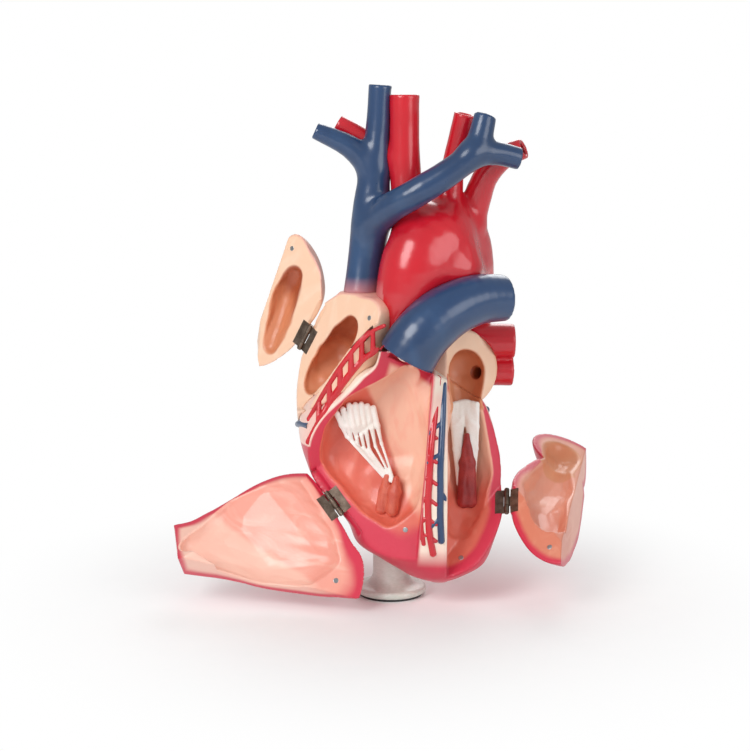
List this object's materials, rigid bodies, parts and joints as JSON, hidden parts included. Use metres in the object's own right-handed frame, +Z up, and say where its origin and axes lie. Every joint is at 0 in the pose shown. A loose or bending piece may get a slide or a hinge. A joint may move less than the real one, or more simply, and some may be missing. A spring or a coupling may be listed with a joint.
{
  "type": "human heart anatomy model",
  "caption": "Enlarged human heart model on a round stand, with hinged doors that open the right atrium, right ventricle and left heart to show the chambers and valves.",
  "frame": {"origin": "centre of the underside of the stand's foot pad, where the model rests", "axes": "+Z up, -Y towards the viewer of the open doors, +X to that viewer's right"},
  "size_m": [0.3248, 0.1733, 0.3845],
  "materials": {
    "pad_rubber": "matt black rubber",
    "stand_plastic": "smooth off-white moulding",
    "insert_brass": "plain turned brass",
    "fitting_steel": "dull bronze-toned plated steel",
    "magnet_nickel": "nickel plated",
    "heart_muscle_plastic": "hand painted crimson, fading to salmon inside, clear lacquer",
    "atrium_plastic": "hand painted beige, orange-tan inside, clear lacquer",
    "papillary_plastic": "painted dark red, clear lacquer",
    "valve_plastic": "painted white",
    "artery_plastic": "painted bright red, clear lacquer",
    "vein_plastic": "painted dark blue, clear lacquer"
  },
  "bodies": {
    "heart": {"foot_pad": "pad_rubber", "stand_foot": "stand_plastic", "stand_weight": "fitting_steel", "stand_washer": "fitting_steel", "stand_screw": "fitting_steel", "threaded_insert": "insert_brass", "ventricles": "heart_muscle_plastic", "right_atrium": "atrium_plastic", "left_atrium": "atrium_plastic", "pulmonary_trunk": "vein_plastic", "right_pulmonary_artery": "vein_plastic", "aorta": "artery_plastic", "superior_vena_cava": "vein_plastic", "inferior_vena_cava": "vein_plastic", "left_pulmonary_veins": "artery_plastic", "right_pulmonary_veins": "artery_plastic", "tricuspid_valve": "valve_plastic", "mitral_valve": "valve_plastic", "pulmonary_valve": "valve_plastic", "right_papillary_muscles": "papillary_plastic", "left_papillary_muscles": "papillary_plastic", "right_coronary_artery": "artery_plastic", "anterior_interventricular_artery": "artery_plastic", "great_cardiac_vein": "vein_plastic", "small_cardiac_vein": "vein_plastic", "coronary_sinus": "vein_plastic", "posterior_interventricular_artery": "artery_plastic", "right_ventricle_hinge_leaf": "fitting_steel", "right_ventricle_hinge_pin": "fitting_steel", "left_heart_hinge_leaf": "fitting_steel", "left_heart_hinge_pin": "fitting_steel", "right_atrium_hinge_leaf": "fitting_steel", "right_atrium_hinge_pin": "fitting_steel", "hinge_screws": "fitting_steel", "seam_magnets": "magnet_nickel"},
    "right_ventricle_door": {"right_ventricle_door": "heart_muscle_plastic", "right_ventricle_door_leaf": "fitting_steel", "right_ventricle_door_screws": "fitting_steel", "right_ventricle_door_magnet": "magnet_nickel"},
    "left_heart_door": {"left_heart_door": "heart_muscle_plastic", "left_heart_door_leaf": "fitting_steel", "left_heart_door_screws": "fitting_steel", "left_heart_door_magnet": "magnet_nickel", "left_heart_door_vein": "vein_plastic"},
    "right_atrium_door": {"right_atrium_door": "atrium_plastic", "right_atrium_door_leaf": "fitting_steel", "right_atrium_door_screws": "fitting_steel", "right_atrium_door_magnet": "magnet_nickel"}
  },
  "joints": [
    {"name": "right_ventricle_door_hinge", "type": "hinge", "parent": "heart", "child": "right_ventricle_door", "pos_m": [-0.0422, -0.0281, 0.0773], "axis": [0.5831, -0.326, -0.7441], "range_deg": [-158, 0]},
    {"name": "left_heart_door_hinge", "type": "hinge", "parent": "heart", "child": "left_heart_door", "pos_m": [0.088, -0.0005, 0.0832], "axis": [0.048, 0.7013, 0.7113], "range_deg": [-166, 0]},
    {"name": "right_atrium_door_hinge", "type": "hinge", "parent": "heart", "child": "right_atrium_door", "pos_m": [-0.065, 0.0115, 0.1965], "axis": [0.4403, -0.1901, 0.8775], "range_deg": [0, 172]}
  ]
}
